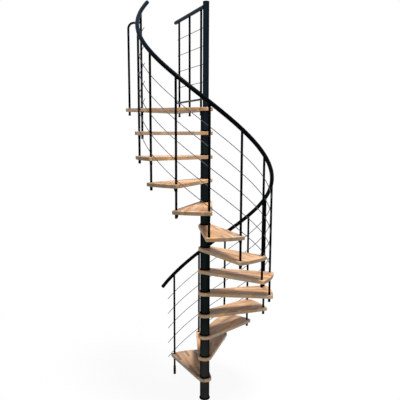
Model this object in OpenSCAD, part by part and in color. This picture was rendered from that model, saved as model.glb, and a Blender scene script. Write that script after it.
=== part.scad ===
// Spiral staircase: wooden treads threaded on a steel column, steel balusters that tie each tread to
// the next, a helical handrail, helical infill rods and a triangular landing with its own railing.
// The stair turns clockwise as it climbs. The origin is under the column, on the floor.

/* [Stair] */
// Number of treads below the landing
tread_count = 12; // [8:1:14]
// Rise from each tread to the next
riser = 235; // [210:1:250]
// Rise from the floor to the first tread
first_rise = 246; // [210:1:270]
// Turn from each tread to the next, in degrees
step_angle = 26.18; // [24:0.02:28]
// Direction of the first baluster, in degrees from the +X axis
first_angle = 120.8; // [90:0.1:150]

/* [Treads] */
// Outer radius of a tread
stair_r = 700; // [650:5:750]
// Thickness of the treads and of the landing
tread_t = 35; // [30:1:40]
// Radius of the round end about the column
hub_r = 71; // [66:1:80]
// Wood between a baluster's axis and a tread's straight edge
edge_margin = 30; // [24:1:34]
// Rounding of the outer corners, seen from above
corner_r = 14; // [10:1:18]
// Rounding of the upper and lower edges
ease_r = 4; // [2:0.5:6]

/* [Landing] */
// Turn between the landing's two post lines, in degrees
landing_angle = 55; // [48:1:62]
// Distance from the column's axis to the landing's straight outer edge
landing_depth = 738; // [700:1:780]

/* [Column] */
// Outside diameter of the pole
pole_d = 60; // [50:1:64]
// Wall of the pole
pole_wall = 4; // [3:0.5:6]
// Height of the pole above the landing
pole_rise = 1000; // [980:1:1100]
// Height of the pole's cap
pole_cap_h = 13; // [8:1:20]
// How far the pole's cap stands out all round
pole_cap_lip = 1.5; // [0.5:0.5:4]
// Outside diameter of the spacer sleeves
sleeve_d = 100; // [90:1:106]
// Wall of the spacer sleeves
sleeve_wall = 4; // [3:0.5:6]
// Outside diameter of the ring under a sleeve
base_ring_d = 108; // [102:1:120]
// Height of the ring under a sleeve
base_ring_h = 12; // [8:1:18]
// Height of the ring on top of a sleeve
top_ring_h = 8; // [5:1:12]
// Rounding of the rings
ring_round = 3; // [1:0.5:4]
// Outside diameter of the foot
foot_d = 113; // [108:1:140]
// Height of the foot
foot_h = 20; // [18:1:50]
// Thickness of the foot's closed floor
foot_floor_t = 10; // [6:1:16]
// Rounding of the foot's edges
foot_round = 7; // [4:0.5:8]

/* [Balusters] */
// Distance of the balusters' axes inside the treads' outer edge
baluster_inset = 38; // [30:1:42]
// Outside diameter of balusters and landing posts
baluster_d = 22; // [18:1:24]
// Wall of balusters and landing posts
baluster_wall = 2; // [1.5:0.25:3]
// Depth of a baluster's lower end below the top of the tread that holds it
stub_drop = 75; // [65:1:90]
// Height of the rounded caps on the lower ends
cap_h = 14; // [10:1:18]
// Wall of the rounded caps
cap_wall = 1.5; // [1:0.25:2.5]
// Thickness of a cap's closed end
cap_floor_t = 5; // [4:0.5:7]
// Height of the floor socket of the first baluster
socket_h = 100; // [70:1:120]
// Wall of the floor socket
socket_wall = 3; // [2:0.5:5]

/* [Brackets] */
// Height of the clamp sleeve under a tread
bracket_h = 33; // [26:1:38]
// Wall of the clamp sleeve
bracket_wall = 1.5; // [1:0.25:3]
// Thickness of the web and of the screw plate
bracket_t = 4; // [3:0.5:6]
// Reach of the web from the clamp sleeve
bracket_web = 8; // [5:0.5:12]
// Reach of the screw plate from the clamp sleeve
bracket_plate = 16; // [13:1:24]
// Width of the screw plate
bracket_plate_w = 18; // [12:1:22]

/* [Handrail] */
// Diameter of the handrail
rail_d = 40; // [34:1:44]
// Height of the handrail's centre over the first tread, at its baluster
rail_height = 972; // [940:1:1020]
// How much lower the handrail lies over the landing than over the first tread
rail_fall = 29; // [0:1:80]
// Length of the handrail before the first baluster
rail_lead = 200; // [100:5:250]
// Length of the handrail past the last baluster
rail_tail = 195; // [100:5:220]
// Length of the rounded plugs in the rails' ends
rail_plug_l = 12; // [8:1:18]

/* [Infill rods] */
// Number of rods
rod_count = 5; // [3:1:5]
// Diameter of a rod
rod_d = 7; // [5:0.5:8]
// Height of the highest rod over the first tread, at its baluster
rod_height = 754; // [720:1:790]
// Spacing of the rods
rod_gap = 175.5; // [140:0.5:178]
// How much lower the rods lie over the landing than over the first tread
rod_fall = 16; // [0:1:40]
// Length of each rod past the first and the last baluster
rod_end = 80; // [50:5:100]

/* [Landing railing] */
// Height of the top rail's centre over the landing
top_rail_height = 963; // [940:1:970]
// Diameter of the top rail
top_rail_d = 38; // [32:1:40]
// Wall of the top rail
top_rail_wall = 2; // [1.5:0.25:4]
// Reach of the top rail from the column's axis
top_rail_reach = 870; // [840:5:900]
// Distance of the post nearest to the column from the column's axis
near_post_r = 122; // [115:1:140]
// Spacing of the posts
post_gap = 312; // [290:1:320]
// Height of the highest landing rod over the landing
landing_rod_height = 769; // [740:1:790]
// Spacing of the landing rods
landing_rod_gap = 173; // [150:1:176]
// Number of landing rods
landing_rod_count = 4; // [2:1:4]
// Length of the landing rods past the outer post
landing_rod_end = 50; // [30:5:80]
// Height of the low rail's centre over the landing
low_rail_height = 81; // [70:1:100]
// Diameter of the low rail
low_rail_d = 20; // [16:1:24]
// Wall of the low rail
low_rail_wall = 1.5; // [1:0.25:2.5]
// Distance of the bent end post from the column's axis
end_post_r = 795; // [770:1:805]
// Height of the bent end post's arm over the landing
end_arm_height = 836; // [780:1:860]
// Radius of the end post's bend
end_bend_r = 55; // [40:1:70]

/* [Hidden] */
$fn = 96;
// Cuts run past the surfaces they open by this much
overrun = 1;
// Gap between a pole or baluster and the hole it passes through
slide_gap = 0.25;
// Step between a board's straight faces and the round end or corner that follows them
seam = 0.2;
// Gap between a rod and the hole it passes through
rod_gap_fit = 0.8;
// Sides and rings per step of the swept round bars
rail_sides = 20;
rail_rings_per_step = 8;
rod_sides = 8;
rod_rings_per_step = 4;

post_count = 3;
last = tread_count + 1;
baluster_r = stair_r - baluster_inset;
landing_z = top_z(last);
step_length = baluster_r * step_angle * PI / 180;
cut_far = stair_r + landing_depth;
steel = [0.12, 0.13, 0.14];
oak = [0.80, 0.62, 0.44];
bright = [0.55, 0.56, 0.57];

// A step count of 1 is the first baluster, and the last one stands at the landing
function turn_at(step) = first_angle - (step - 1) * step_angle;
function top_z(step) = first_rise + (step - 1) * riser;
function rail_z(step) = top_z(step) + rail_height - rail_fall * (step - 1) / tread_count;
function rod_z(step, row) =
    top_z(step) + rod_height - (row - 1) * rod_gap - rod_fall * (step - 1) / tread_count;
function tread_z(step) = top_z(step) - tread_t;
rail_pitch = atan((riser - rail_fall / tread_count) / step_length);
rod_pitch = atan((riser - rod_fall / tread_count) / step_length);
function post_r(post) = near_post_r + (post - 1) * post_gap;
post_line = turn_at(last) - landing_angle;
low_rail_offset = (baluster_d + low_rail_d) / 2;
function two_digits(number) = str(number < 10 ? "0" : "", number);
function heading(angle) = [cos(angle), sin(angle)];

TREADS = [for (step = [1 : tread_count]) str("tread_", two_digits(step))];
BALUSTERS = [for (step = [1 : last]) str("baluster_", two_digits(step))];
RODS = [for (row = [1 : rod_count]) str("infill_rod_", row)];

module hole(diameter, length) {
    translate([0, 0, -overrun])
        cylinder(d = diameter + 2 * slide_gap, h = length + 2 * overrun);
}

module tube(diameter, wall, length) {
    difference() {
        cylinder(d = diameter, h = length);
        translate([0, 0, -overrun])
            cylinder(d = diameter - 2 * wall, h = length + 2 * overrun);
    }
}

// A disc with both of its edges rounded
module pebble(diameter, height, round_r) {
    rotate_extrude()
        intersection() {
            square([diameter, height]);
            union() {
                square([diameter / 2 - round_r, height]);
                translate([0, round_r])
                    square([diameter / 2, height - 2 * round_r]);
                for (y = [round_r, height - round_r])
                    translate([diameter / 2 - round_r, y])
                        circle(round_r);
            }
        }
}

// Section of a board, thick as a tread, whose far end has both corners eased
module eased_section(width) {
    difference() {
        square([width, tread_t]);
        for (top = [0, 1])
            translate([width - ease_r, top * tread_t])
                mirror([0, top])
                    difference() {
                        translate([0, -overrun])
                            square(ease_r + overrun);
                        translate([0, ease_r])
                            circle(ease_r);
                    }
    }
}

module eased_disc(radius) {
    rotate_extrude()
        eased_section(radius);
}

// A board that lies along the heading, with its eased edge at a distance to the left of the axis
module eased_board(angle, distance) {
    rotate([0, 0, angle])
        rotate([90, 0, 90])
            linear_extrude(cut_far)
                translate([-cut_far, 0])
                    eased_section(cut_far + distance);
}

// A pair of boards, mirrored, whose overlap is a wedge that widens from the round end
module wedge(side_angle) {
    intersection() {
        eased_board(side_angle, hub_r);
        mirror([0, 1, 0])
            eased_board(side_angle, hub_r);
    }
}

// Cuts a corner back to the two faces, with these outward directions, that its rounding meets
module corner_cut(centre, side, end) {
    reach = corner_r + overrun;
    translate([0, 0, -overrun])
        linear_extrude(tread_t + 2 * overrun)
            polygon([centre, centre + reach * side, centre + reach * (side + end) / (1 + side * end),
                     centre + reach * end]);
}

// Rounds the two outer corners of the board given as child
module round_corners(centre, side, end) {
    difference() {
        children();
        for (half = [0, 1])
            mirror([0, half, 0])
                corner_cut(centre, side, end);
    }
    for (half = [0, 1])
        mirror([0, half, 0])
            translate(centre)
                eased_disc(corner_r - seam);
}

// Straight edges lean in so that they touch the round end and pass the balusters at their margin
edge_lean = asin((hub_r - edge_margin) / baluster_r);

module tread_board() {
    side_angle = step_angle / 2 - edge_lean;
    side = heading(side_angle + 90);
    along = sqrt(pow(stair_r - corner_r, 2) - pow(hub_r - corner_r, 2));
    centre = along * heading(side_angle) + (hub_r - corner_r) * side;
    eased_disc(hub_r - seam);
    round_corners(centre, side, centre / norm(centre))
        intersection() {
            eased_disc(stair_r);
            wedge(side_angle);
        }
}

// The landing is a triangle with a round end about the column and a straight outer edge
module landing_board() {
    side_angle = landing_angle / 2 - edge_lean;
    side = heading(side_angle + 90);
    centre_x = landing_depth - corner_r;
    centre = [centre_x, (hub_r - corner_r - side[0] * centre_x) / side[1]];
    eased_disc(hub_r - seam);
    round_corners(centre, side, [1, 0])
        intersection() {
            wedge(side_angle);
            translate([0, cut_far / 2, 0])
                eased_board(-90, landing_depth);
        }
}

// Drills the board given as child for the tubes that stand at these distances along a heading
module drilled(angle, radii) {
    difference() {
        children();
        for (radius = radii)
            rotate([0, 0, angle])
                translate([radius, 0, 0])
                    hole(baluster_d, tread_t);
    }
}

module bored() {
    difference() {
        children();
        hole(pole_d, tread_t);
    }
}

module tread(step) {
    half = step_angle / 2;
    color(oak)
        translate([0, 0, tread_z(step)])
            rotate([0, 0, turn_at(step) - half])
                drilled(half, [baluster_r])
                    drilled(-half, [baluster_r])
                        bored()
                            tread_board();
}

module landing_platform() {
    half = landing_angle / 2;
    color(oak)
        translate([0, 0, tread_z(last)])
            rotate([0, 0, turn_at(last) - half])
                drilled(-half, [for (post = [1 : post_count]) post_r(post)])
                    drilled(half, [baluster_r, end_post_r])
                        bored()
                            landing_board();
}

module foot() {
    color(steel)
        difference() {
            pebble(foot_d, foot_h, foot_round);
            translate([0, 0, foot_floor_t])
                cylinder(d = pole_d + 2 * slide_gap, h = foot_h);
        }
}

module center_pole() {
    color(steel)
        translate([0, 0, foot_floor_t])
            tube(pole_d, pole_wall, landing_z + pole_rise - pole_cap_h - foot_floor_t);
}

module pole_cap() {
    color(steel)
        translate([0, 0, landing_z + pole_rise - pole_cap_h])
            pebble(pole_d + 2 * pole_cap_lip, pole_cap_h, ring_round);
}

// Each sleeve stands on the ring over the tread below, and the lowest one on the foot
module column_sleeves() {
    color(steel)
        for (step = [1 : last]) {
            base = step == 1 ? foot_h : top_z(step - 1) + base_ring_h;
            translate([0, 0, base])
                tube(sleeve_d, sleeve_wall, tread_z(step) - top_ring_h - base);
        }
}

module sleeve_ring(diameter, height) {
    difference() {
        pebble(diameter, height, ring_round);
        hole(pole_d, height);
    }
}

module sleeve_rings() {
    color(steel)
        for (step = [1 : last]) {
            translate([0, 0, tread_z(step) - top_ring_h])
                sleeve_ring(sleeve_d, top_ring_h);
            if (step < last)
                translate([0, 0, top_z(step)])
                    sleeve_ring(base_ring_d, base_ring_h);
        }
}

// A clamp sleeve round a baluster under a tread, with a screw plate and a tapered web below it
module tread_bracket() {
    clamp_r = baluster_d / 2 + slide_gap + bracket_wall;
    difference() {
        union() {
            translate([0, 0, -bracket_h])
                cylinder(r = clamp_r, h = bracket_h);
            translate([-bracket_plate_w / 2, 0, -bracket_t])
                cube([bracket_plate_w, clamp_r + bracket_plate, bracket_t]);
            translate([bracket_t / 2, 0, 0])
                rotate([0, -90, 0])
                    linear_extrude(bracket_t)
                        polygon([[0, 0], [0, clamp_r + bracket_web], [-bracket_h / 2, clamp_r + bracket_web],
                                 [-bracket_h, clamp_r], [-bracket_h, 0]]);
        }
        translate([0, 0, -bracket_h])
            hole(baluster_d, bracket_h);
    }
}

// The brackets of one tread face each other along its outer edge
module tread_brackets() {
    color(steel)
        for (step = [1 : last])
            for (back = [0, 1])
                if (step + back <= last)
                    rotate([0, 0, turn_at(step + back)])
                        translate([baluster_r, 0, tread_z(step)])
                            mirror([0, 1 - back, 0])
                                tread_bracket();
}

// A rounded cap over the lower end of a baluster or post
module cap() {
    outside = baluster_d + 2 * (slide_gap + cap_wall);
    difference() {
        pebble(outside, cap_h, cap_floor_t - overrun);
        translate([0, 0, cap_floor_t])
            cylinder(d = baluster_d + 2 * slide_gap, h = cap_h);
    }
}

// A domed plug that closes a rail, with its flat face on the rail's end
module rail_plug(diameter) {
    intersection() {
        translate([0, 0, -rail_plug_l])
            pebble(diameter, 2 * rail_plug_l, rail_plug_l - overrun);
        cylinder(d = diameter, h = rail_plug_l);
    }
}

module end_caps() {
    color(steel) {
        for (step = [2 : last])
            rotate([0, 0, turn_at(step)])
                translate([baluster_r, 0, top_z(step - 1) - stub_drop])
                    cap();
        rotate([0, 0, turn_at(last)])
            translate([end_post_r, 0, landing_z - stub_drop])
                cap();
        rotate([0, 0, post_line])
            for (post = [1 : post_count])
                translate([post_r(post), 0, landing_z - stub_drop])
                    cap();
        for (end = [0, 1])
            let (step = end == 0 ? rail_from : rail_to)
                rotate([0, 0, turn_at(step)])
                    translate([baluster_r, 0, rail_z(step)])
                        rotate([90 - rail_pitch, 0, 0])
                            mirror([0, 0, 1 - end])
                                rail_plug(rail_d);
        along_railing(top_rail_height, top_rail_reach - rail_plug_l)
            rail_plug(top_rail_d);
    }
}

module floor_socket() {
    color(steel)
        rotate([0, 0, turn_at(1)])
            translate([baluster_r, 0, 0])
                difference() {
                    pebble(baluster_d + 2 * (slide_gap + socket_wall), socket_h, socket_wall - overrun);
                    translate([0, 0, cap_floor_t])
                        cylinder(d = baluster_d + 2 * slide_gap, h = socket_h);
                }
}

// A baluster ends in a saddle under the handrail, and is drilled for the rods that run through it
module baluster(step) {
    base = step == 1 ? cap_floor_t : top_z(step - 1) - stub_drop + cap_floor_t;
    color(steel)
        rotate([0, 0, turn_at(step)])
            translate([baluster_r, 0, 0])
                difference() {
                    translate([0, 0, base])
                        tube(baluster_d, baluster_wall, rail_z(step) - base);
                    translate([0, 0, rail_z(step)])
                        rotate([90 - rail_pitch, 0, 0])
                            cylinder(d = rail_d, h = 2 * rail_d, center = true);
                    for (row = [1 : rod_count])
                        translate([0, 0, rod_z(step, row)])
                            rotate([90 - rod_pitch, 0, 0])
                                cylinder(d = rod_d + 2 * rod_gap_fit, h = 2 * baluster_d, center = true);
                }
}

// A round bar swept along the balusters' circle: each place is a step count and a height
module swept_bar(diameter, sides, steps, heights, pitch) {
    rings = len(steps);
    points = [for (i = [0 : rings - 1])
        let (out = concat(heading(turn_at(steps[i])), 0),
             over = [out[1] * -sin(pitch), out[0] * sin(pitch), cos(pitch)],
             centre = [baluster_r * out[0], baluster_r * out[1], heights[i]])
        for (side = [0 : sides - 1])
            centre + diameter / 2 * (cos(360 * side / sides) * out + sin(360 * side / sides) * -over)];
    walls = [for (i = [0 : rings - 2], side = [0 : sides - 1])
        let (next = (side + 1) % sides)
        each [[i * sides + side, i * sides + next, (i + 1) * sides + next],
              [i * sides + side, (i + 1) * sides + next, (i + 1) * sides + side]]];
    ends = [[for (side = [sides - 1 : -1 : 0]) side],
            [for (side = [0 : sides - 1]) (rings - 1) * sides + side]];
    polyhedron(points, concat(walls, ends));
}

rail_from = 1 - rail_lead * cos(rail_pitch) / step_length;
rail_to = last + rail_tail * cos(rail_pitch) / step_length;
rail_rings = ceil((rail_to - rail_from) * rail_rings_per_step);

module handrail() {
    steps = [for (i = [0 : rail_rings]) rail_from + (rail_to - rail_from) * i / rail_rings];
    color(steel)
        swept_bar(rail_d, rail_sides, steps, [for (step = steps) rail_z(step)], rail_pitch);
}

// A rod has a ring at every baluster, so that it passes through the middle of each hole
module infill_rod(row) {
    end_steps = rod_end * cos(rod_pitch) / step_length;
    steps = concat(
        [1 - end_steps],
        [for (i = [rod_rings_per_step : last * rod_rings_per_step]) i / rod_rings_per_step],
        [last + end_steps]);
    color(bright)
        swept_bar(rod_d, rod_sides, steps, [for (step = steps) rod_z(step, row)], rod_pitch);
}

// Turns to the landing's railing, lifts to its floor and lays its child out along +X
module along_railing(height, radius = 0, offset = 0) {
    rotate([0, 0, post_line])
        translate([radius, offset, landing_z + height])
            rotate([0, 90, 0])
                children();
}

// Leaves only what lies outside the pole
module outside_pole() {
    difference() {
        children();
        translate([0, 0, landing_z])
            cylinder(d = pole_d, h = pole_rise);
    }
}

module landing_top_rail() {
    color(steel)
        outside_pole()
            along_railing(top_rail_height)
                tube(top_rail_d, top_rail_wall, top_rail_reach - rail_plug_l);
}

module landing_low_rail() {
    color(steel)
        outside_pole()
            along_railing(low_rail_height, 0, low_rail_offset)
                tube(low_rail_d, low_rail_wall, post_r(post_count) + baluster_d);
}

module landing_rods() {
    color(bright)
        outside_pole()
            for (row = [1 : landing_rod_count])
                along_railing(landing_rod_height - (row - 1) * landing_rod_gap)
                    cylinder(d = rod_d, h = post_r(post_count) + landing_rod_end);
}

module landing_posts() {
    base = cap_floor_t - stub_drop;
    color(steel)
        difference() {
            rotate([0, 0, post_line])
                for (post = [1 : post_count])
                    translate([post_r(post), 0, landing_z + base])
                        tube(baluster_d, baluster_wall, top_rail_height - base);
            along_railing(top_rail_height)
                cylinder(d = top_rail_d, h = top_rail_reach);
            for (row = [1 : landing_rod_count])
                along_railing(landing_rod_height - (row - 1) * landing_rod_gap)
                    cylinder(d = rod_d + 2 * rod_gap_fit, h = top_rail_reach);
        }
}

// One tube: up through the landing, round a quarter bend and in to the last baluster
module bent_end_post() {
    base = cap_floor_t - stub_drop;
    bore_d = baluster_d - 2 * baluster_wall;
    color(steel)
        rotate([0, 0, turn_at(last)])
            translate([end_post_r, 0, landing_z]) {
                translate([0, 0, base])
                    tube(baluster_d, baluster_wall, end_arm_height - end_bend_r - base);
                translate([-end_bend_r, 0, end_arm_height - end_bend_r])
                    rotate([90, 0, 0])
                        rotate_extrude(angle = 90)
                            translate([end_bend_r, 0])
                                difference() {
                                    circle(d = baluster_d);
                                    circle(d = bore_d);
                                }
                difference() {
                    translate([baluster_r - end_post_r, 0, end_arm_height])
                        rotate([0, 90, 0])
                            tube(baluster_d, baluster_wall, end_post_r - end_bend_r - baluster_r);
                    translate([baluster_r - end_post_r, 0, end_arm_height - baluster_d])
                        cylinder(d = baluster_d, h = 2 * baluster_d);
                }
            }
}

foot();
center_pole();
pole_cap();
column_sleeves();
sleeve_rings();
landing_platform();
tread_brackets();
floor_socket();
handrail();
end_caps();
landing_top_rail();
landing_posts();
landing_low_rail();
landing_rods();
bent_end_post();
for (step = [1 : tread_count])
    tread(step);
for (step = [1 : last])
    baluster(step);
for (row = [1 : rod_count])
    infill_rod(row);
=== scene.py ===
import math
import bpy
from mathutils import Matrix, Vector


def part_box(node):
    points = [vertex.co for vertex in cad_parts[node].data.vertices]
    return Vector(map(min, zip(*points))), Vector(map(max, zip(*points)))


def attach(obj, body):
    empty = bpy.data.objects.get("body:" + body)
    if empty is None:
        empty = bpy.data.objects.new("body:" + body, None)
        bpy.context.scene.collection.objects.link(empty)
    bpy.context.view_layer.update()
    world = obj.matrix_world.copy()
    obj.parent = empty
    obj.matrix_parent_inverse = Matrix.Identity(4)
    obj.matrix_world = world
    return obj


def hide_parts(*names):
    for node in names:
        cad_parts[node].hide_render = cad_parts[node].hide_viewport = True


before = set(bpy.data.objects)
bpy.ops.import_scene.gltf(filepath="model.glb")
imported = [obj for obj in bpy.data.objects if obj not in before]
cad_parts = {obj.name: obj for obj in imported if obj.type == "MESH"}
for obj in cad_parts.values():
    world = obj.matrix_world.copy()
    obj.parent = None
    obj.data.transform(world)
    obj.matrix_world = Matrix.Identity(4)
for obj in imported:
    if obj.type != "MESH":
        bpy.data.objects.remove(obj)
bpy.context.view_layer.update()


# Column: a steel pole with spacer sleeves threaded over it between the treads.
# Both are powder coated in a satin black, with the faint orange peel of a baked coat.
# The pole runs on bare above the landing and is closed by a flat cap.
def new_finish(name, roughness, specular, metallic=0.0):
    finish = bpy.data.materials.new(name)
    finish.use_nodes = True
    surface = finish.node_tree.nodes["Principled BSDF"]
    surface.inputs["Roughness"].default_value = roughness
    surface.inputs["Specular IOR Level"].default_value = specular
    surface.inputs["Metallic"].default_value = metallic
    return finish, surface


def build_node(tree, kind, settings, inputs):
    """A new node. Settings are its properties. Inputs, by name or _number, are values or sockets."""
    node = tree.nodes.new(kind)
    for setting, value in dict(settings).items():
        setattr(node, setting, value)
    for name, value in inputs.items():
        socket = node.inputs[int(name[1:])] if name[1:].isdigit() else node.inputs[name.replace("_", " ")]
        if isinstance(value, bpy.types.NodeSocket):
            tree.links.new(value, socket)
        else:
            socket.default_value = value
    return node


def add_node(finish, kind, settings=(), **inputs):
    return build_node(finish.node_tree, kind, settings, inputs)


def feed(finish, socket, value):
    finish.node_tree.links.new(value, socket)


def speckle(finish, grain_size):
    """A fine even noise in the object's own coordinates, with grains of about this size in metres."""
    place = add_node(finish, "ShaderNodeTexCoord").outputs["Object"]
    noise = add_node(finish, "ShaderNodeTexNoise", Vector=place, Scale=1.0 / grain_size, Detail=2.0)
    return noise.outputs["Fac"]


def mix_tones(finish, share, first, second):
    """Blends two tones, each given as a colour or as the socket that carries it."""
    ends = [(*tone, 1) if isinstance(tone, tuple) else tone for tone in (first, second)]
    mixed = add_node(finish, "ShaderNodeMix", {"data_type": "RGBA"}, _0=share, _6=ends[0], _7=ends[1])
    return mixed.outputs[2]


def between(finish, amount, low, high):
    """Remaps a noise, which stays near its middle, to a range of values or colours."""
    if isinstance(low, tuple):
        return mix_tones(finish, between(finish, amount, 0.0, 1.0), low, high)
    noise_low, noise_high = 0.3, 0.7
    spread = add_node(finish, "ShaderNodeMapRange", Value=amount, From_Min=noise_low, From_Max=noise_high,
                      To_Min=low, To_Max=high)
    return spread.outputs["Result"]


def mottle(finish, surface, patch, dark, light):
    """A base colour that wavers between two tones, in patches of about this size in metres."""
    feed(finish, surface.inputs["Base Color"], between(finish, speckle(finish, patch), dark, light))


def uneven_sheen(finish, surface, patch, smooth, rough):
    feed(finish, surface.inputs["Roughness"], between(finish, speckle(finish, patch), smooth, rough))


def bump(finish, surface, height, depth, strength):
    relief = add_node(finish, "ShaderNodeBump", Height=height, Distance=depth, Strength=strength)
    feed(finish, surface.inputs["Normal"], relief.outputs["Normal"])


def fine_relief(finish, surface, grain, depth, strength):
    bump(finish, surface, speckle(finish, grain), depth, strength)


def orange_peel(finish, surface):
    fine_relief(finish, surface, grain=0.0022, depth=0.0001, strength=0.2)


def tone_ramp(finish, amount, stops):
    """Colours at these places between 0 and 1, joined by straight blends."""
    tones = add_node(finish, "ShaderNodeValToRGB", Fac=amount)
    marks = tones.color_ramp.elements
    for place, tone in stops:
        mark = marks[0] if place == 0.0 else marks[-1] if place == 1.0 else marks.new(place)
        mark.position = place
        mark.color = (*tone, 1)
    return tones.outputs["Color"]


def tone_with_painted_climb_light(finish, *stops):
    """A tone that changes with the height on the stair, given as (height, colour), with a slight mottle; its
    change with height is painted light and reflection.
    """
    low_z, high_z = stops[0][0], stops[-1][0]
    place = add_node(finish, "ShaderNodeTexCoord").outputs["Object"]
    height = add_node(finish, "ShaderNodeSeparateXYZ", Vector=place).outputs["Z"]
    painted_light_climb = add_node(finish, "ShaderNodeMapRange", Value=height, From_Min=low_z, From_Max=high_z)
    tone = tone_ramp(finish, painted_light_climb.outputs["Result"],
                     [((z - low_z) / (high_z - low_z), colour) for z, colour in stops])
    waver = between(finish, speckle(finish, 0.09), 0.85, 1.15)
    scaled = add_node(finish, "ShaderNodeVectorMath", {"operation": "SCALE"}, Vector=tone, Scale=waver)
    return scaled.outputs[0]


def coat_steel(name, roughness, edge, *stops):
    """Black coated steel: a satin tone with painted light and reflection that change up the stair, orange
    peel and dark grazing edges.
    """
    coat, surface = new_finish(name, roughness, 0.5, metallic=1.0)
    surface.inputs["Specular Tint"].default_value = (edge, edge, edge, 1)
    feed(coat, surface.inputs["Base Color"], tone_with_painted_climb_light(coat, *stops))
    uneven_sheen(coat, surface, 0.05, roughness - 0.05, roughness + 0.05)
    orange_peel(coat, surface)
    return coat


def dress(finish, *nodes):
    for node in nodes:
        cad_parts[node].data.materials.clear()
        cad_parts[node].data.materials.append(finish)


# The coat's tone is lighter low on the column, which is painted light, and bluer towards the top, which is a
# painted sky reflection.
column_coat = coat_steel("column_coat", 0.45, 0.35,
                         (0.4, (0.0200, 0.0208, 0.0200)), (0.9, (0.0066, 0.0092, 0.0086)),
                         (1.6, (0.0056, 0.0092, 0.0090)), (2.6, (0.0096, 0.0138, 0.0150)),
                         (3.6, (0.0066, 0.0126, 0.0180)))
dress(column_coat, "center_pole", "pole_cap", "column_sleeves")


# Sleeve rings and foot: moulded rings over and under each tread that centre the sleeves on the wood.
# They are plastic of a deeper black than the steel, with the fine even texture of a spark-eroded mould.
# The round foot under the column is finished in the same deep black.
ring_plastic, ring_surface = new_finish("ring_plastic", 0.5, 0.0)
mottle(ring_plastic, ring_surface, 0.02, (0.0010, 0.0010, 0.0010), (0.0022, 0.0022, 0.0022))
fine_relief(ring_plastic, ring_surface, grain=0.0011, depth=0.00008, strength=0.4)
dress(ring_plastic, "sleeve_rings", "foot")


# Treads and landing: solid boards glued up from finger-jointed staves that run along each tread.
# No two staves match: peach, tan, orange and greyish brown, with a thin satin lacquer on the tops.
# The edges are more even and have painted light on the sides; the outer ends are darker from end grain and
# painted shade, and the undersides greyer from painted shade.
TREADS = sorted(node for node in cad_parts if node.startswith("tread_") and node[-1].isdigit())
BALUSTERS = sorted(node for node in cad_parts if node.startswith("baluster_"))
STEPS = len(BALUSTERS)
board_low, board_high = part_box(TREADS[0])
BOARD_T = board_high.z - board_low.z
FIRST_RISE = board_high.z
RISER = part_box(TREADS[1])[1].z - FIRST_RISE


def post_axis(node):
    low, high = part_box(node)
    return (low.x + high.x) / 2, (low.y + high.y) / 2


first_x, first_y = post_axis(BALUSTERS[0])
next_x, next_y = post_axis(BALUSTERS[1])
RAIL_R = math.hypot(first_x, first_y)
FIRST_TURN = math.atan2(first_y, first_x)
STEP_TURN = FIRST_TURN - math.atan2(next_y, next_x)
LANDING_HALF = math.radians(27.5)
LANDING_TURN = FIRST_TURN - (STEPS - 1) * STEP_TURN - LANDING_HALF

STAVE_TONES = ((0.0, (0.285, 0.170, 0.106)), (0.18, (0.500, 0.286, 0.150)), (0.48, (0.715, 0.412, 0.212)),
               (0.78, (0.825, 0.525, 0.302)), (1.0, (0.660, 0.336, 0.145)))
EDGE_EVEN, EDGE_PICK = 0.65, 0.44
# Painted light: the sides are made lighter and cooler.
SIDE_PAINTED_LIGHT = (0.98, 1.13, 1.22)
# Darker outer ends: partly end grain, partly painted shade.
END_GRAIN_AND_PAINTED_SHADE = (0.62, 0.68, 0.70)
# Painted shade: the undersides are made greyer and darker.
UNDER_PAINTED_SHADE = (0.78, 0.90, 0.98)
LACQUER_EDGE, LACQUER_TOP = 0.06, 0.42


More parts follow.
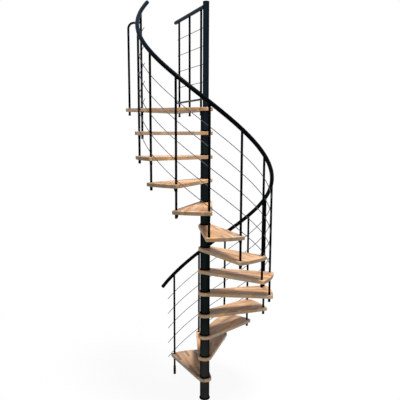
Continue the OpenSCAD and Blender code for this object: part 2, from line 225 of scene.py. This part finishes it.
def glue_staves(name, first_turn, step_turn):
    """Laminated wood whose staves run along the heading first_turn - (tread number - 1/2) * step_turn."""
    stave_w, stave_l = 0.031, 0.29
    row_offset = 7.3 * stave_w
    lay_seed, joint_scatter = 20.5, 7.0
    finger_w, finger_reach = 0.0035, 2.6
    glue_half, glue_dark = 0.00025, 0.28
    fibre_along, fibre_across, fibre_scatter = 9.0, 240.0, 40.0
    drift_along, drift_across = 4.0, 28.0
    ring_pitch, ring_waver = 900.0, 22.0
    ring_share, fibre_share, drift_share = 0.06, 0.55, 0.5
    warm_drift, warm_red, warm_blue = 0.8, 0.22, -0.45
    wood, surface = new_finish(name, 0.5, 0.4)

    def work(operation, first, second=0.0, third=0.0):
        node = add_node(wood, "ShaderNodeMath", {"operation": operation}, _0=first, _1=second, _2=third)
        return node.outputs[0]

    def triple(x, y, z):
        return add_node(wood, "ShaderNodeCombineXYZ", X=x, Y=y, Z=z).outputs[0]

    def random_of(key):
        return add_node(wood, "ShaderNodeTexWhiteNoise", Vector=key)

    def turned(vector):
        swing = add_node(wood, "ShaderNodeVectorRotate", {"rotation_type": "Z_AXIS"},
                         Vector=vector, Angle=turn)
        return add_node(wood, "ShaderNodeSeparateXYZ", Vector=swing.outputs[0]).outputs

    def tint(whole, share, tone):
        toned = add_node(wood, "ShaderNodeVectorMath", {"operation": "MULTIPLY"}, _0=whole, _1=tone)
        return mix_tones(wood, share, whole, toned.outputs[0])

    # The height on the stair gives the tread's number, and so the way its staves run.
    place = add_node(wood, "ShaderNodeTexCoord").outputs["Object"]
    height = add_node(wood, "ShaderNodeSeparateXYZ", Vector=place).outputs["Z"]
    number = work("ROUND", work("DIVIDE", work("ADD", height, BOARD_T / 2 + RISER - FIRST_RISE), RISER))
    turn = work("SUBTRACT", work("MULTIPLY", work("SUBTRACT", number, 0.5), step_turn), first_turn)
    local = turned(place)
    along, across = local["X"], local["Y"]
    facing = turned(add_node(wood, "ShaderNodeNewGeometry").outputs["Normal"])

    # Each row of staves is shifted by its own amount, and its joints zigzag as finger joints do.
    row = work("FLOOR", work("DIVIDE", work("ADD", across, row_offset), stave_w))
    shift = random_of(triple(row, number, lay_seed)).outputs["Value"]
    finger = work("MULTIPLY", work("PINGPONG", across, finger_w), finger_reach)
    scatter = work("MULTIPLY", shift, joint_scatter)
    run = work("ADD", work("DIVIDE", work("ADD", along, finger), stave_l), scatter)
    stave = random_of(triple(row, work("FLOOR", run), number))
    own = add_node(wood, "ShaderNodeSeparateXYZ", Vector=stave.outputs["Color"]).outputs

    # The stave's tone, drawn closer to one middle tone on the upright edges.
    upright = work("SUBTRACT", 1.0, work("ABSOLUTE", facing["Z"]))
    pick = add_node(wood, "ShaderNodeMapRange", Value=work("MULTIPLY", upright, EDGE_EVEN),
                    To_Min=stave.outputs["Value"], To_Max=EDGE_PICK)
    tone = tone_ramp(wood, pick.outputs["Result"], STAVE_TONES)

    # Year rings at the stave's own tilt, fine fibres and a slow drift make the figure.
    tilt = work("MULTIPLY", own["X"], math.pi)
    level = work("ADD", work("MULTIPLY", across, work("COSINE", tilt)),
                 work("MULTIPLY", height, work("SINE", tilt)))
    far = work("MULTIPLY", own["Y"], fibre_scatter)

    def streaks(per_along, per_across, detail):
        spot = triple(work("ADD", work("MULTIPLY", along, per_along), far),
                      work("MULTIPLY", across, per_across), work("MULTIPLY", height, per_across))
        return add_node(wood, "ShaderNodeTexNoise", Vector=spot, Scale=1.0, Detail=detail).outputs["Fac"]

    fibre = streaks(fibre_along, fibre_across, 5.0)
    drift = streaks(drift_along, drift_across, 3.0)
    off_fibre = work("SUBTRACT", fibre, 0.5)
    off_drift = work("SUBTRACT", drift, 0.5)
    ring = work("SINE", work("ADD", work("MULTIPLY", level, ring_pitch), work("MULTIPLY", drift, ring_waver)))
    figure = work("ADD", work("MULTIPLY", ring, ring_share), work("MULTIPLY", off_fibre, fibre_share))
    figure = work("ADD", figure, work("MULTIPLY", off_drift, drift_share))

    # Dark glue lines between the rows, and staves that are a little redder or greyer than their tone.
    edge = work("PINGPONG", work("ADD", across, row_offset), stave_w / 2)
    glue = work("LESS_THAN", edge, glue_half)
    shade = work("SUBTRACT", work("ADD", figure, 1.0), work("MULTIPLY", glue, glue_dark))
    warmth = work("ADD", work("SUBTRACT", own["Z"], 0.5), work("MULTIPLY", off_drift, warm_drift))
    cast = triple(work("MULTIPLY_ADD", warmth, warm_red, 1.0), 1.0,
                  work("MULTIPLY_ADD", warmth, warm_blue, 1.0))
    cast = add_node(wood, "ShaderNodeVectorMath", {"operation": "SCALE"}, Vector=cast, Scale=shade).outputs[0]
    colour = add_node(wood, "ShaderNodeVectorMath", {"operation": "MULTIPLY"}, _0=tone, _1=cast).outputs[0]

    # Painted light on the sides, end grain and painted shade on the outer ends, painted shade on the
    # undersides, and the lacquer, which lies on the tops.
    colour = tint(colour, work("POWER", facing["Y"], 2.0), SIDE_PAINTED_LIGHT)
    colour = tint(colour, work("POWER", work("MAXIMUM", facing["X"], 0.0), 2.0), END_GRAIN_AND_PAINTED_SHADE)
    colour = tint(colour, work("MAXIMUM", work("MULTIPLY", facing["Z"], -1.0), 0.0), UNDER_PAINTED_SHADE)
    lacquer = add_node(wood, "ShaderNodeMapRange", Value=facing["Z"], From_Min=-0.2, From_Max=0.7,
                       To_Min=LACQUER_EDGE, To_Max=LACQUER_TOP)
    feed(wood, surface.inputs["Specular IOR Level"], lacquer.outputs["Result"])
    feed(wood, surface.inputs["Base Color"], colour)
    feed(wood, surface.inputs["Roughness"], between(wood, fibre, 0.60, 0.48))
    bump(wood, surface, figure, 0.0004, 0.35)
    return wood


dress(glue_staves("tread_wood", FIRST_TURN, STEP_TURN), *TREADS)
dress(glue_staves("landing_wood", LANDING_TURN, 0.0), "landing_platform")


# Brackets: small clamps of folded and coated steel that hold each tread to its two balusters.
# Each screw plate is drawn up under the wood by one round-headed screw.
# The tone turns a little bluer and lighter towards the top: a painted sky reflection.
rail_coat = coat_steel("rail_coat", 0.5, 0.02,
                       (1.2, (0.0026, 0.0032, 0.0032)), (4.0, (0.0026, 0.0040, 0.0052)))
dress(rail_coat, "tread_brackets")
screw_coat, screw_surface = new_finish("bracket_screw_coat", 0.35, 0.5, metallic=1.0)
mottle(screw_coat, screw_surface, 0.003, (0.030, 0.031, 0.033), (0.055, 0.057, 0.060))
fine_relief(screw_coat, screw_surface, grain=0.0008, depth=0.00005, strength=0.4)


def new_tree(name, *inputs):
    """An empty Geometry Nodes tree with these named float inputs, and a helper that adds nodes to it."""
    tree = bpy.data.node_groups.new(name, "GeometryNodeTree")
    tree.interface.new_socket("Geometry", in_out="INPUT", socket_type="NodeSocketGeometry")
    tree.interface.new_socket("Geometry", in_out="OUTPUT", socket_type="NodeSocketGeometry")
    for title in inputs:
        tree.interface.new_socket(title, in_out="INPUT", socket_type="NodeSocketFloat")

    def put(kind, settings=(), **sockets):
        return build_node(tree, kind, settings, sockets)

    return tree, put


def end_tree(put, shape, finish):
    """Closes a tree: the shape made real, smooth and in its finish."""
    real = put("GeometryNodeRealizeInstances", Geometry=shape)
    smooth = put("GeometryNodeSetShadeSmooth", Geometry=real.outputs[0])
    dressed = put("GeometryNodeSetMaterial", Geometry=smooth.outputs[0], Material=finish)
    put("NodeGroupOutput", Geometry=dressed.outputs[0])


def grow(name, tree, finish, base=None, **sizes):
    """Runs a tree on a mesh and keeps the result as a plain mesh that rides on the stair."""
    piece = bpy.data.objects.new(name, base or bpy.data.meshes.new(name))
    bpy.context.scene.collection.objects.link(piece)
    modifier = piece.modifiers.new("form", "NODES")
    modifier.node_group = tree
    for item in tree.interface.items_tree:
        if item.in_out == "INPUT" and item.name in sizes:
            modifier[item.identifier] = sizes[item.name]
    depsgraph = bpy.context.evaluated_depsgraph_get()
    formed = bpy.data.meshes.new_from_object(piece.evaluated_get(depsgraph))
    piece.modifiers.remove(modifier)
    piece.data = formed
    formed.name = name
    formed.materials.clear()
    formed.materials.append(finish)
    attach(piece, "root")
    return piece


screw_tree, put_screw = new_tree("bracket_screws", "Head radius", "Head height")
screw = put_screw("NodeGroupInput").outputs
ball = put_screw("GeometryNodeMeshUVSphere", Segments=16, Rings=8, Radius=screw["Head radius"])
flat = put_screw("ShaderNodeMath", {"operation": "DIVIDE"}, _0=screw["Head height"], _1=screw["Head radius"])
squat = put_screw("ShaderNodeCombineXYZ", X=1.0, Y=1.0, Z=flat.outputs[0])
head = put_screw("GeometryNodeTransform", Geometry=ball.outputs["Mesh"], Scale=squat.outputs[0])
heads = put_screw("GeometryNodeInstanceOnPoints", Points=screw["Geometry"], Instance=head.outputs[0])
end_tree(put_screw, heads.outputs[0], screw_coat)

SCREW_REACH = 0.0215
SCREW_DROP = 0.004
screw_places = []
for step in range(1, STEPS + 1):
    for back in (0, 1):
        if step + back <= STEPS:
            turn = FIRST_TURN - (step + back - 1) * STEP_TURN
            sideways = SCREW_REACH if back else -SCREW_REACH
            screw_places.append((RAIL_R * math.cos(turn) - sideways * math.sin(turn),
                                 RAIL_R * math.sin(turn) + sideways * math.cos(turn),
                                 FIRST_RISE + (step - 1) * RISER - BOARD_T - SCREW_DROP))
screw_points = bpy.data.meshes.new("bracket_screw_places")
screw_points.from_pydata(screw_places, [], [])
bracket_screws = grow("bracket_screws", screw_tree, screw_coat, screw_points,
                      **{"Head radius": 0.0042, "Head height": 0.0024})


# Balusters and landing posts: thin steel tubes in the same coat as the brackets.
# The balusters pass through the treads, so each one ties a tread to the next, and stop under the handrail.
dress(rail_coat, *BALUSTERS, "floor_socket", "landing_posts", "bent_end_post")


# End caps: soft plastic caps pushed over the tubes' lower ends, and domed plugs in the rails' ends.
# They are moulded in black with a fine matt texture.
cap_plastic, cap_surface = new_finish("cap_plastic", 0.5, 0.01)
mottle(cap_plastic, cap_surface, 0.01, (0.0016, 0.0018, 0.0020), (0.0030, 0.0034, 0.0038))
fine_relief(cap_plastic, cap_surface, grain=0.0009, depth=0.00006, strength=0.4)
dress(cap_plastic, "end_caps")


# Handrail: a round black plastic rail, bent on site into a helix and screwed down to the balusters.
# The plastic is smooth and a little glossier than the steel, with a painted blue sky reflection that grows
# towards the top.
RAIL_D, RAIL_SIDES = 0.040, 32.0
RAIL_HEIGHT, RAIL_FALL = 0.972, 0.029
RAIL_LEAD, RAIL_TAIL = 0.200, 0.195
BAR_RINGS = 260
step_length = RAIL_R * STEP_TURN
rail_plastic, rail_surface = new_finish("rail_plastic", 0.4, 0.5, metallic=1.0)
rail_surface.inputs["Specular Tint"].default_value = (0.62, 0.62, 0.62, 1)
feed(rail_plastic, rail_surface.inputs["Base Color"],
     tone_with_painted_climb_light(rail_plastic, (3.4, (0.0024, 0.0032, 0.0040)), (3.6, (0.0030, 0.0070, 0.0125)),
                (3.85, (0.0060, 0.0165, 0.0330)), (4.1, (0.0060, 0.0150, 0.0240))))
uneven_sheen(rail_plastic, rail_surface, 0.03, 0.36, 0.44)
fine_relief(rail_plastic, rail_surface, grain=0.0014, depth=0.00006, strength=0.3)

bar_tree, put_bar = new_tree("helical_bar", "Helix radius", "Bar radius", "Sides", "From step", "To step",
                             "First turn", "Step turn", "Rise per step", "Start height")
bar = put_bar("NodeGroupInput").outputs


def reckon(operation, first, second=0.0):
    return put_bar("ShaderNodeMath", {"operation": operation}, _0=first, _1=second).outputs[0]


line = put_bar("GeometryNodeCurvePrimitiveLine")
path = put_bar("GeometryNodeResampleCurve", Curve=line.outputs[0], Count=BAR_RINGS)
share = put_bar("GeometryNodeSplineParameter").outputs["Factor"]
reach = reckon("SUBTRACT", bar["To step"], bar["From step"])
passed = reckon("SUBTRACT", reckon("ADD", bar["From step"], reckon("MULTIPLY", share, reach)), 1.0)
bearing = reckon("SUBTRACT", bar["First turn"], reckon("MULTIPLY", passed, bar["Step turn"]))
spot = put_bar("ShaderNodeCombineXYZ", X=reckon("MULTIPLY", bar["Helix radius"], reckon("COSINE", bearing)),
               Y=reckon("MULTIPLY", bar["Helix radius"], reckon("SINE", bearing)),
               Z=reckon("ADD", bar["Start height"], reckon("MULTIPLY", passed, bar["Rise per step"])))
helix = put_bar("GeometryNodeSetPosition", Geometry=path.outputs[0], Position=spot.outputs[0])
sides = put_bar("FunctionNodeFloatToInt", _0=bar["Sides"])
section = put_bar("GeometryNodeCurvePrimitiveCircle", Radius=bar["Bar radius"], Resolution=sides.outputs[0])
swept = put_bar("GeometryNodeCurveToMesh", Curve=helix.outputs[0], Profile_Curve=section.outputs[0],
                Fill_Caps=True)
end_tree(put_bar, swept.outputs[0], rail_plastic)


def bend_bar(name, finish, thick, sides, lead, tail, rise, height):
    """A round bar along the stair's helix, from lead before the first baluster to tail past the last one."""
    level_share = math.cos(math.atan(rise / step_length))
    return grow(name, bar_tree, finish, **{
        "Helix radius": RAIL_R, "Bar radius": thick / 2, "Sides": sides,
        "From step": 1 - lead * level_share / step_length,
        "To step": STEPS + tail * level_share / step_length,
        "First turn": FIRST_TURN, "Step turn": STEP_TURN,
        "Rise per step": rise, "Start height": FIRST_RISE + height})


handrail = bend_bar("handrail_bar", rail_plastic, RAIL_D, RAIL_SIDES, RAIL_LEAD, RAIL_TAIL,
                    RISER - RAIL_FALL / (STEPS - 1), RAIL_HEIGHT)
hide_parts("handrail")


# Infill rods: five thin drawn steel rods that follow the handrail through a hole in every baluster.
# Their grey is dull and a little mottled. The landing's straight rods are cut from the same steel.
ROD_D, ROD_SIDES = 0.007, 12.0
ROD_HEIGHT, ROD_GAP, ROD_FALL = 0.754, 0.1755, 0.016
ROD_END = 0.110
rod_steel, rod_surface = new_finish("rod_steel", 0.4, 0.5, metallic=1.0)
mottle(rod_steel, rod_surface, 0.02, (0.050, 0.053, 0.056), (0.085, 0.090, 0.094))
uneven_sheen(rod_steel, rod_surface, 0.006, 0.34, 0.48)
fine_relief(rod_steel, rod_surface, grain=0.001, depth=0.00004, strength=0.3)
rods = sorted(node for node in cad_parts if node.startswith("infill_rod_"))
for row, node in enumerate(rods):
    rod = bend_bar("infill_bar_%d" % (row + 1), rod_steel, ROD_D, ROD_SIDES, ROD_END, ROD_END,
                   RISER - ROD_FALL / (STEPS - 1), ROD_HEIGHT - row * ROD_GAP)
    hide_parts(node)
dress(rod_steel, "landing_rods")


# Landing railing: a top rail and a thin low rail of steel, both fixed to the pole and to the three posts.
# Their coat has the column's orange peel in a greyer teal, paler on the low rail; both tones also hold a
# painted sheen.
for node, tone in (("landing_top_rail", (0.021, 0.038, 0.049)), ("landing_low_rail", (0.095, 0.122, 0.134))):
    teal_coat, teal_surface = new_finish(node + "_coat", 0.45, 0.03)
    feed(teal_coat, teal_surface.inputs["Base Color"], tone_with_painted_climb_light(teal_coat, (3.0, tone), (4.0, tone)))
    orange_peel(teal_coat, teal_surface)
    dress(teal_coat, node)


# Studio: a pale floor, a white surround, a large soft lamp high in front and a weak one low at the left.
# To the eye the floor and the surround are near white; as light they stay at a plain, cool level.
# Close to the stair the floor throws back more light and keeps a soft shadow.
FLOOR_HALF = 30.0
FLOOR_TONE = (0.9, 0.9, 0.9)
BOUNCE_FAR, BOUNCE_NEAR = (0.32, 0.37, 0.42), (0.72, 0.80, 0.88)
GLOW_NEAR = 0.94
SKY_SEEN, SKY_LIGHT = (1.0, 1.0, 1.0), (0.062, 0.085, 0.150)
floor_mesh = bpy.data.meshes.new("floor")
floor_mesh.from_pydata([(-FLOOR_HALF, -FLOOR_HALF, 0), (FLOOR_HALF, -FLOOR_HALF, 0),
                        (FLOOR_HALF, FLOOR_HALF, 0), (-FLOOR_HALF, FLOOR_HALF, 0)], [], [(0, 1, 2, 3)])
floor = bpy.data.objects.new("floor", floor_mesh)
bpy.context.scene.collection.objects.link(floor)
floor_finish, floor_surface = new_finish("floor_finish", 0.8, 0.0)


def seen_ray(finish):
    """1 for what the eye meets, straight, mirrored or through something clear, and 0 for plain light."""
    ray = add_node(finish, "ShaderNodeLightPath")
    straight = add_node(finish, "ShaderNodeMath", {"operation": "MAXIMUM"},
                        _0=ray.outputs["Is Camera Ray"], _1=ray.outputs["Is Glossy Ray"])
    return add_node(finish, "ShaderNodeMath", {"operation": "MAXIMUM"},
                    _0=straight.outputs[0], _1=ray.outputs["Is Transmission Ray"]).outputs[0]


def fade(reach, near, far):
    """A value that is near within a metre of the column and eases to far at this reach."""
    place = add_node(floor_finish, "ShaderNodeTexCoord").outputs["Object"]
    away = add_node(floor_finish, "ShaderNodeVectorMath", {"operation": "LENGTH"}, Vector=place)
    eased = add_node(floor_finish, "ShaderNodeMapRange", {"interpolation_type": "SMOOTHSTEP"},
                     Value=away.outputs["Value"], From_Min=1.0, From_Max=reach, To_Min=near, To_Max=far)
    return eased.outputs["Result"]


floor_seen = seen_ray(floor_finish)
bounce = mix_tones(floor_finish, fade(3.5, 1.0, 0.0), BOUNCE_FAR, BOUNCE_NEAR)
floor_tone = mix_tones(floor_finish, floor_seen, bounce, FLOOR_TONE)
feed(floor_finish, floor_surface.inputs["Base Color"], floor_tone)
glow = add_node(floor_finish, "ShaderNodeEmission", Color=(1, 1, 1, 1), Strength=1.0)
glow_share = add_node(floor_finish, "ShaderNodeMath", {"operation": "MULTIPLY"},
                      _0=floor_seen, _1=fade(4.0, GLOW_NEAR, 1.0))
floor_look = add_node(floor_finish, "ShaderNodeMixShader", _0=glow_share.outputs[0],
                      _1=floor_surface.outputs[0], _2=glow.outputs[0])
feed(floor_finish, floor_finish.node_tree.nodes["Material Output"].inputs["Surface"], floor_look.outputs[0])
floor_mesh.materials.append(floor_finish)

surround = bpy.data.worlds.new("surround")
surround.use_nodes = True
bpy.context.scene.world = surround
sky = surround.node_tree.nodes["Background"]
feed(surround, sky.inputs["Color"], mix_tones(surround, seen_ray(surround), SKY_LIGHT, SKY_SEEN))

KEY_HEIGHT, KEY_BEARING, KEY_FAR = math.radians(73), math.radians(308), 20.0
KEY_AIM = 2.0
key_lamp = bpy.data.lights.new("key_lamp", "AREA")
key_lamp.shape = "DISK"
key_lamp.size = 6.3
key_lamp.energy = 5450
key_lamp.color = (1.0, 0.955, 0.92)
key = bpy.data.objects.new("key_lamp", key_lamp)
key.location = (KEY_FAR * math.cos(KEY_HEIGHT) * math.cos(KEY_BEARING),
                KEY_FAR * math.cos(KEY_HEIGHT) * math.sin(KEY_BEARING),
                KEY_AIM + KEY_FAR * math.sin(KEY_HEIGHT))
key.rotation_euler = (math.pi / 2 - KEY_HEIGHT, 0, math.pi / 2 + KEY_BEARING)
bpy.context.scene.collection.objects.link(key)

FRONT_HEIGHT, FRONT_BEARING = 12, 245
front_lamp = bpy.data.lights.new("front_lamp", "SUN")
front_lamp.energy = 0.5
front_lamp.color = (0.89, 0.92, 1.0)
front_lamp.angle = math.radians(50)
front = bpy.data.objects.new("front_lamp", front_lamp)
front.rotation_euler = (math.radians(90 - FRONT_HEIGHT), 0, math.radians(90 + FRONT_BEARING))
bpy.context.scene.collection.objects.link(front)


# Camera: a plain lens in front of the stair, a little below the landing and tilted slightly down.
# Its shift puts the stair where it stands in the photo's frame.
CAMERA_TILT = 8.388
lens = bpy.data.cameras.new("camera")
lens.lens = 46.48
lens.sensor_width = 36.0
lens.shift_x = 0.0214
lens.shift_y = 0.0247
camera = bpy.data.objects.new("camera", lens)
camera.location = (-0.1412, -5.1957, 2.8086)
camera.rotation_euler = (math.radians(90 - CAMERA_TILT), 0, 0)
bpy.context.scene.collection.objects.link(camera)
bpy.context.scene.camera = camera
bpy.context.scene.view_settings.view_transform = "Standard"
